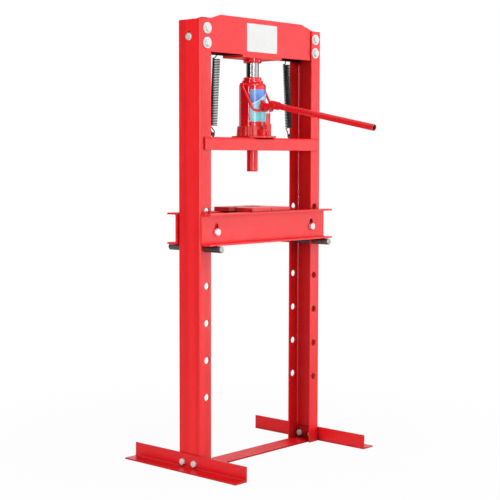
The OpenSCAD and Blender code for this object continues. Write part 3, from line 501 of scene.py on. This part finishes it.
# The handle's and socket's red: a darker copy of the red, painted shade on the lever beside the reservoir
HANDLE_PAINT_SHADED = red_paint("handle_paint_shaded", (0.7, 0.007, 0.012), (0.63, 0.006, 0.01), (0.76, 0.009, 0.015),
                         rough=(0.22, 0.32), reach=0.02)
FILLET_PAINT = red_paint("fillet_paint", (0.74, 0.006, 0.012), (0.7, 0.005, 0.01), (0.78, 0.008, 0.015),
                         peel=0.001, edge=0.0002, rough=(0.24, 0.27), reach=0.005)
ZINC = zinc_plate("zinc", (0.58, 0.58, 0.575), (0.71, 0.71, 0.7), (0.8, 0.8, 0.785))
HEAD_ZINC = zinc_plate("head_zinc", (0.46, 0.49, 0.47), (0.58, 0.62, 0.595), (0.69, 0.73, 0.7))
CHROME = chrome_plate()
BLACK = dark_steel("black_steel", (0.03, 0.03, 0.032), (0.06, 0.06, 0.062), (0.11, 0.108, 0.105))
SPRING = dark_steel("spring_steel", (0.016, 0.016, 0.016), (0.028, 0.028, 0.028), (0.055, 0.054, 0.053),
                    rough=(0.3, 0.45), metal=0.9)
PIN = pin_steel()
RUBBER = black_rubber()

BY_NODE = {
    "jack_base": CASTING, "fulcrum_lug": CASTING, "handle_socket": HANDLE_PAINT_SHADED, "pump_handle": HANDLE_PAINT_SHADED,
    "arbor_plate_left": PLATE_PAINT_SHADED, "arbor_plate_right": PLATE_PAINT_SHADED, "press_ram": RAM_PAINT_LIT,
    "foot_left": FOOT_PAINT_SHADED, "foot_right": FOOT_PAINT_SHADED, "floor_tie": TIE_PAINT_LIT_SHADED,
    "jack_reservoir": JACK_RED, "jack_gland": JACK_RED, "ram_cap": JACK_RED, "pump_cylinder": JACK_RED,
    "bed_pin_left": PIN, "bed_pin_right": PIN, "top_beam_front": BEAM_PAINT_SHADED, "top_beam_rear": BEAM_PAINT_SHADED,
    "post_left": POST_PAINT_SHADED, "post_right": POST_PAINT_SHADED, "beam_ribs": BEAM_PAINT_SHADED, "beam_end_plates": BEAM_PAINT_SHADED,
}
BY_SLOT = {"red_paint": PAINT, "zinc_steel": ZINC, "dark_steel": BLACK, "chrome": CHROME,
           "spring_steel": SPRING, "rubber": RUBBER}


def dress_nodes():
    slots = {part["node"]: part["material_slot"] for part in frame["record"]["subparts"]}
    for name, thing in NODES.items():
        thing.data.materials.clear()
        thing.data.materials.append(BY_NODE.get(name, BY_SLOT[slots[name]]))


# Mesh helpers

def from_bmesh(name, bm, material, smooth=True):
    bmesh.ops.recalc_face_normals(bm, faces=bm.faces)
    mesh = bpy.data.meshes.new(name)
    bm.to_mesh(mesh)
    bm.free()
    piece = bpy.data.objects.new(name, mesh)
    bpy.context.collection.objects.link(piece)
    mesh.materials.append(material)
    if smooth:
        for face in mesh.polygons:
            face.use_smooth = True
    return piece


def sharpen(piece, degrees):
    piece.data.set_sharp_from_angle(angle=math.radians(degrees))


def ring_strip(bm, rings, closed_start=True, closed_end=True):
    """Joins rings of equal count into a skin, with flat caps where asked."""
    made = [[bm.verts.new(p) for p in ring] for ring in rings]
    count = len(made[0])
    for a, b in zip(made, made[1:]):
        for i in range(count):
            j = (i + 1) % count
            bm.faces.new((a[i], a[j], b[j], b[i]))
    if closed_start:
        bm.faces.new(list(reversed(made[0])))
    if closed_end:
        bm.faces.new(made[-1])


def turned(matrix, outline, steps=40):
    """Rings of a turned shape from (radius, height) pairs, placed by matrix."""
    return [[matrix @ Vector((r * math.cos(a), r * math.sin(a), z))
             for a in (2 * math.pi * i / steps for i in range(steps))] for r, z in outline]


def tube_rings(path, radius, sides):
    """Rings along a path, carried without twist."""
    points = [Vector(p) for p in path]
    last = len(points) - 1
    dirs = [(points[min(i + 1, last)] - points[max(i - 1, 0)]).normalized() for i in range(last + 1)]
    side = Vector((0, 1, 0))
    rings = []
    for point, along in zip(points, dirs):
        side = (side - side.dot(along) * along).normalized()
        up = along.cross(side)
        rings.append([point + radius * (math.cos(a) * side + math.sin(a) * up)
                      for a in (2 * math.pi * k / sides for k in range(sides))])
    return rings


# Return springs: the wire path of the solids in finer rings, both wound the same way

SPRING_WIRE, WIRE_SIDES = 3.0, 12


def spring_path(side, first_turn):
    rod = Vector((146.0, 0.0, 1146.0))
    eye = Vector((161.0, 0.0, 920.8))
    rod_hook, eye_hook, pull = 5.8, 6.0, 8.0
    rod_run, eye_run, turns, coil_r = 24.0, 18.0, 41, 9.75
    across, down = Vector((0, 1, 0)), Vector((0, 0, -1))
    along = (eye - rod).normalized()
    inward = Vector((along.z, 0, -along.x))
    start = rod + rod_run * along
    lead = ((eye - rod).length - rod_run - eye_run) / turns

    def coil(turn):
        a = 2 * math.pi * (turn + first_turn)
        return start + turn * lead * along + coil_r * (math.cos(a) * inward + math.sin(a) * across)

    def hook(centre, r, degrees):
        a = math.radians(degrees)
        return centre + r * Vector((math.cos(a), 0, math.sin(a)))

    def bridge(a, a_dir, b, b_dir, t):
        u = 1 - t
        leaving, arriving = a + pull * a_dir, b - pull * b_dir
        return u ** 3 * a + 3 * u * u * t * leaving + 3 * u * t * t * arriving + t ** 3 * b

    hook_steps, bridge_steps, curl_steps = 20, 14, 24
    over = [hook(rod, rod_hook, 180 * i / hook_steps) for i in range(hook_steps + 1)]
    under = [hook(eye, eye_hook, 180 + 180 * i / hook_steps) for i in range(hook_steps + 1)]
    curls = [coil(i / curl_steps) for i in range(curl_steps * turns + 1)]
    sweep = math.cos(2 * math.pi * first_turn) * across
    upper = [bridge(over[-1], down, curls[0], sweep, i / bridge_steps) for i in range(1, bridge_steps)]
    lower = [bridge(curls[-1], sweep, under[0], down, i / bridge_steps) for i in range(1, bridge_steps)]
    tail = SPRING_WIRE * down
    path = [over[0] + tail] + over + upper + curls + lower + under + [under[-1] - tail]
    return [Vector((side * p.x, side * p.y, p.z)) * MM for p in path]


def make_springs():
    for name, side, first_turn in (("left", -1, 0.5), ("right", 1, 0.0)):
        bm = bmesh.new()
        ring_strip(bm, tube_rings(spring_path(side, first_turn), SPRING_WIRE / 2 * MM, WIRE_SIDES))
        piece = from_bmesh("return_spring_" + name, bm, SPRING)
        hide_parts("spring_" + name)
        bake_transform(piece)


# Bolts and nuts with chamfered hexagons and threads, in mm and in the places that the solids have

BEAM_BOLT = {"d": 12, "af": 18, "head": 6, "length": 22.5, "threaded": 14}
WEB_BOLT = {"d": 8, "af": 13, "head": 5, "length": 18.5, "threaded": 10}
FOOT_BOLT = {"d": 10, "af": 16, "head": 6.4, "length": 22, "threaded": 11}
BED_BOLT = {"d": 12, "af": 18, "head": 7.5, "length": 112.4, "threaded": 18}
BEAM_NUT = {"d": 12, "af": 18, "height": 10}
WEB_NUT = {"d": 8, "af": 13, "height": 6.5}
FOOT_NUT = {"d": 10, "af": 16, "height": 8}
BED_NUT = {"d": 12, "af": 18, "height": 10}
BEAM_BOLT_X, BEAM_BOLT_ROWS, BEAM_HEAD_Y, BEAM_NUT_Y = 227.0, (1157.0, 1196.0), 44.5, 34.0
WEB_BOLT_Z, WEB_HEAD_X, WEB_NUT_X = 1174.0, 255.0, 245.0
FOOT_BOLT_Y, FOOT_BOLT_Z, FOOT_HEAD_X, FOOT_NUT_X = 22.0, 17.5, 257.0, 245.0
BED_BOLT_X, BED_BOLT_Z, BED_HEAD_Y, BED_NUT_Y = 201.0, 649.8, -52.8, 47.6
THREAD_LEAD, NUT_PLAY, SHANK_OVERLAP, WELD_DISTANCE, HEX_SHARP = 1.75, 0.05, 0.5, 1e-6, 28


def hex_reach(af, a):
    turn = (a + math.pi / 6) % (math.pi / 3) - math.pi / 6
    return af / 2 / math.cos(turn)


def hex_rings(matrix, af, z0, z1, low_chamfer, high_chamfer, bore=0.0):
    """Rings of a hexagon whose ends are turned to a cone; flats face local x."""
    steps, slope = 72, math.tan(math.radians(30))
    crown = af / 2 * 0.96
    lip, lip_drop = 0.03 * af, 0.02 * af
    dish_rim, dish_floor, dish_depth = crown * 0.8, crown * 0.76, 0.018 * af

    def ring(radius_of, height_of):
        return [matrix @ Vector((radius_of(a) * math.cos(a), radius_of(a) * math.sin(a), height_of(a)))
                for a in (2 * math.pi * i / steps for i in range(steps))]

    def flat(r, z):
        return ring(lambda a: r, lambda a: z)

    def edge(z, sign, chamfer):
        return ring(lambda a: hex_reach(af, a),
                    lambda a: z + (sign * slope * (hex_reach(af, a) - crown) if chamfer else 0.0))

    rings = []
    if bore:
        rings.append(flat(bore, z0 + lip_drop))
        rings.append(flat(bore + lip, z0))
    rings.append(flat(crown, z0))
    rings.append(edge(z0, 1, low_chamfer))
    rings.append(edge(z1, -1, high_chamfer))
    rings.append(flat(crown, z1))
    if bore:
        rings.append(flat(bore + lip, z1))
        rings.append(flat(bore, z1 - lip_drop))
    else:
        rings.append(flat(dish_rim, z1))
        rings.append(flat(dish_floor, z1 - dish_depth))
    return rings


def thread_outline(d, start, end, lead):
    """Half outline of a threaded stub with a chamfered tip."""
    tip_length, tip_chamfer = 0.08 * d, 0.1 * d
    crest, root, depth = 0.3 * lead, 0.65 * lead, 0.55 * lead
    outline = [(d / 2, start)]
    z = start
    while z + lead < end - tip_length:
        outline += [(d / 2, z + crest), (d / 2 - depth, z + root), (d / 2, z + lead)]
        z += lead
    outline += [(d / 2, end - tip_length), (d / 2 - tip_chamfer, end)]
    return outline


def carry_fasteners(piece, node, body):
    sharpen(piece, HEX_SHARP)
    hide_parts(node)
    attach(piece, body)


def bolt_set(name, node, body, places, material, d, af, head, length, threaded):
    bm = bmesh.new()
    for place in places:
        ring_strip(bm, hex_rings(place, af * MM, -head * MM, 0.0, True, False))
        outline = [(d / 2, -SHANK_OVERLAP)] + thread_outline(d, length - threaded, length, THREAD_LEAD)
        ring_strip(bm, turned(place, [(r * MM, z * MM) for r, z in outline]))
    carry_fasteners(from_bmesh(name, bm, material), node, body)


def nut_set(name, node, body, places, d, af, height):
    bm = bmesh.new()
    for place in places:
        rings = hex_rings(place, af * MM, 0.0, height * MM, False, True, (d / 2 + NUT_PLAY) * MM)
        ring_strip(bm, rings + [rings[0]], False, False)
    bmesh.ops.remove_doubles(bm, verts=bm.verts, dist=WELD_DISTANCE)
    carry_fasteners(from_bmesh(name, bm, ZINC), node, body)


def placed(x, y, z, direction):
    """A place at (x, y, z) in mm whose local z runs along direction."""
    along = Vector(direction)
    first = Vector((1, 0, 0)) if abs(along.x) < 0.5 else Vector((0, 1, 0))
    basis = Matrix((first, along.cross(first), along)).transposed().to_4x4()
    return Matrix.Translation(Vector((x, y, z)) * MM) @ basis


def make_fasteners():
    beam = [(sx * BEAM_BOLT_X, sy, z) for sx in SIDES for sy in SIDES for z in BEAM_BOLT_ROWS]
    foot = [(sx, sy * FOOT_BOLT_Y) for sx in SIDES for sy in SIDES]
    bolt_set("beam_bolt_set", "beam_bolts", "frame",
             [placed(x, sy * BEAM_HEAD_Y, z, (0, -sy, 0)) for x, sy, z in beam], HEAD_ZINC, **BEAM_BOLT)
    nut_set("beam_nut_set", "beam_nuts", "frame",
            [placed(x, sy * BEAM_NUT_Y, z, (0, -sy, 0)) for x, sy, z in beam], **BEAM_NUT)
    bolt_set("web_bolt_set", "web_bolts", "frame",
             [placed(sx * WEB_HEAD_X, 0, WEB_BOLT_Z, (-sx, 0, 0)) for sx in SIDES], HEAD_ZINC, **WEB_BOLT)
    nut_set("web_nut_set", "web_nuts", "frame",
            [placed(sx * WEB_NUT_X, 0, WEB_BOLT_Z, (-sx, 0, 0)) for sx in SIDES], **WEB_NUT)
    bolt_set("foot_bolt_set", "foot_bolts", "frame",
             [placed(sx * FOOT_HEAD_X, y, FOOT_BOLT_Z, (-sx, 0, 0)) for sx, y in foot], ZINC, **FOOT_BOLT)
    nut_set("foot_nut_set", "foot_nuts", "frame",
            [placed(sx * FOOT_NUT_X, y, FOOT_BOLT_Z, (-sx, 0, 0)) for sx, y in foot], **FOOT_NUT)
    bolt_set("bed_bolt_set", "bed_bolts", "bed",
             [placed(sx * BED_BOLT_X, BED_HEAD_Y, BED_BOLT_Z, (0, 1, 0)) for sx in SIDES], ZINC, **BED_BOLT)
    nut_set("bed_nut_set", "bed_nuts", "bed",
            [placed(sx * BED_BOLT_X, BED_NUT_Y, BED_BOLT_Z, (0, 1, 0)) for sx in SIDES], **BED_NUT)


# Films: a blank label on the beam and a plain wrap on the reservoir

TANK_RADIUS, FILM_LIFT = 38.25, 0.02


def make_label():
    half_w, low, high, corner, thick = 63.0, 1144.8, 1222.2, 3.0, 0.25
    aside, face, middle = -1.5, -38.0, (low + high) / 2
    swell, narrower, lower, corner_steps = 0.05, 0.994, 0.99, 6
    outline = []
    for cx, cz, first in ((half_w - corner, low + corner, -90), (half_w - corner, high - corner, 0),
                          (corner - half_w, high - corner, 90), (corner - half_w, low + corner, 180)):
        for i in range(corner_steps + 1):
            a = math.radians(first + 90 / corner_steps * i)
            outline.append((cx + corner * math.cos(a), cz + corner * math.sin(a)))
    bm = bmesh.new()
    rings = [[Vector((aside + x, face - y, z)) * MM for x, z in outline] for y in (FILM_LIFT, thick)]
    inset = [Vector((aside + x * narrower, face - thick - swell, middle + (z - middle) * lower)) * MM
             for x, z in outline]
    ring_strip(bm, rings + [inset])
    piece = from_bmesh("beam_label", bm, white_film(), False)
    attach(piece, "frame")


def make_wrap():
    low, high, thick = 953.0, 1042.0, 0.18
    first, last, columns, rows = -148.0, -48.0, 60, 24
    angles = [math.radians(first + (last - first) * i / columns) for i in range(columns + 1)]
    heights = [low + (high - low) * j / rows for j in range(rows + 1)]
    bm = bmesh.new()
    grids = []
    for r in (TANK_RADIUS + FILM_LIFT, TANK_RADIUS + thick):
        grids.append([[bm.verts.new(Vector((r * math.cos(a), r * math.sin(a), z)) * MM) for a in angles]
                      for z in heights])
    for k, grid in enumerate(grids):
        for j in range(rows):
            for i in range(columns):
                face = (grid[j][i], grid[j][i + 1], grid[j + 1][i + 1], grid[j + 1][i])
                bm.faces.new(face if k else tuple(reversed(face)))
    inner, outer = grids
    border = [(j, 0) for j in range(rows)] + [(rows, i) for i in range(columns)]
    border += [(j, columns) for j in range(rows, 0, -1)] + [(0, i) for i in range(columns, 0, -1)]
    for (ja, ia), (jb, ib) in zip(border, border[1:] + border[:1]):
        bm.faces.new((inner[ja][ia], inner[jb][ib], outer[jb][ib], outer[ja][ia]))
    piece = from_bmesh("reservoir_wrap", bm, banded_film(low * MM, high * MM))
    sharpen(piece, 40)
    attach(piece, "bolster")


# Rubber bung set back in the handle's open end

def make_bung():
    socket, reach, rise = Vector((0, -45.0, 997.0)), 389.5, 7.5
    tilt = math.radians(11.0)
    ahead = Vector((0, -math.cos(tilt), -math.sin(tilt)))
    above = Vector((0, -math.sin(tilt), math.cos(tilt)))
    tip = socket + reach * ahead + rise * above
    outline = [(5.9, -15.0), (6.6, -14.0), (6.6, -9.0), (6.2, -8.5), (6.2, -7.5), (6.6, -7.0), (6.6, -2.6),
               (6.1, -2.0), (5.5, -2.4), (5.1, -6.0), (2.6, -7.0), (0.4, -7.2)]
    bm = bmesh.new()
    ring_strip(bm, turned(placed(*tip, ahead), [(r * MM, z * MM) for r, z in outline]))
    piece = from_bmesh("handle_bung", bm, RUBBER)
    sharpen(piece, 35)
    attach(piece, "handle")


# Paint gathered along the inner bends of the uprights

def make_fillets():
    web, flange, radius, sunk = 249.0, 38.0, 3.2, 0.3
    low, high, steps, rows = 45.0, 1125.0, 6, 90
    bm = bmesh.new()
    for sx in SIDES:
        for sy in SIDES:
            middle = (web - radius, flange - radius)
            arc = [(middle[0] + radius * math.cos(a), middle[1] + radius * math.sin(a))
                   for a in (math.pi / 2 * i / steps for i in range(steps + 1))]
            section = arc + [(web + sunk, flange + sunk)]
            rings = []
            for j in range(rows + 1):
                z = low + (high - low) * j / rows
                rings.append([Vector((sx * x, sy * y, z)) * MM for x, y in section])
            ring_strip(bm, rings)
    piece = from_bmesh("bend_fillets", bm, FILLET_PAINT)
    sharpen(piece, 50)
    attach(piece, "frame")


# Weld beads under the paint

BEAD_RADIUS, BEAD_STEP, BEAD_SIDES, RIPPLE_TURN = 1.3, 0.8, 8, 1.3


def bead(bm, points, ripple):
    """A bead along straight runs of points: a rippled tube, half sunk in the corner."""
    path, sizes = [], []
    for a, b in zip(points, points[1:]):
        a, b = Vector(a), Vector(b)
        steps = max(2, int((b - a).length / BEAD_STEP))
        for i in range(steps):
            path.append(a.lerp(b, i / steps))
    path.append(Vector(points[-1]))
    for i in range(len(path)):
        sizes.append(BEAD_RADIUS * (1 + ripple * math.sin(i * RIPPLE_TURN)))
    rings = tube_rings([p * MM for p in path], MM, BEAD_SIDES)
    for i, ring in enumerate(rings):
        middle = path[i] * MM
        rings[i] = [middle + (p - middle) * sizes[i] for p in ring]
    ring_strip(bm, rings)


def make_welds():
    lug_half, lug_foot, lug_head, aside, ahead = 6.5, 993.0, 1014.0, 0.3, 0.2
    seam_radius, seam_height, seam_steps = 38.6, 939.2, 120
    lug_ripple, seam_ripple = 0.12, 0.1
    bm = bmesh.new()
    y = -math.sqrt(TANK_RADIUS ** 2 - lug_half ** 2)
    for side in SIDES:
        bead(bm, [(side * (lug_half + aside), y - ahead, z) for z in (lug_foot, lug_head)], lug_ripple)
    circle = [(seam_radius * math.cos(a), seam_radius * math.sin(a), seam_height)
              for a in (2 * math.pi * i / seam_steps for i in range(seam_steps + 1))]
    bead(bm, circle, seam_ripple)
    piece = from_bmesh("jack_welds", bm, CASTING)
    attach(piece, "bolster")


place_camera()
make_world()
make_floor()
for flag in FLAGS:
    make_flag(*flag)
for lamp in LAMPS:
    area_light(*lamp)

dress_nodes()
make_springs()
make_fasteners()
make_label()
make_wrap()
make_bung()
make_fillets()
make_welds()

bpy.context.scene.view_settings.view_transform = "Standard"
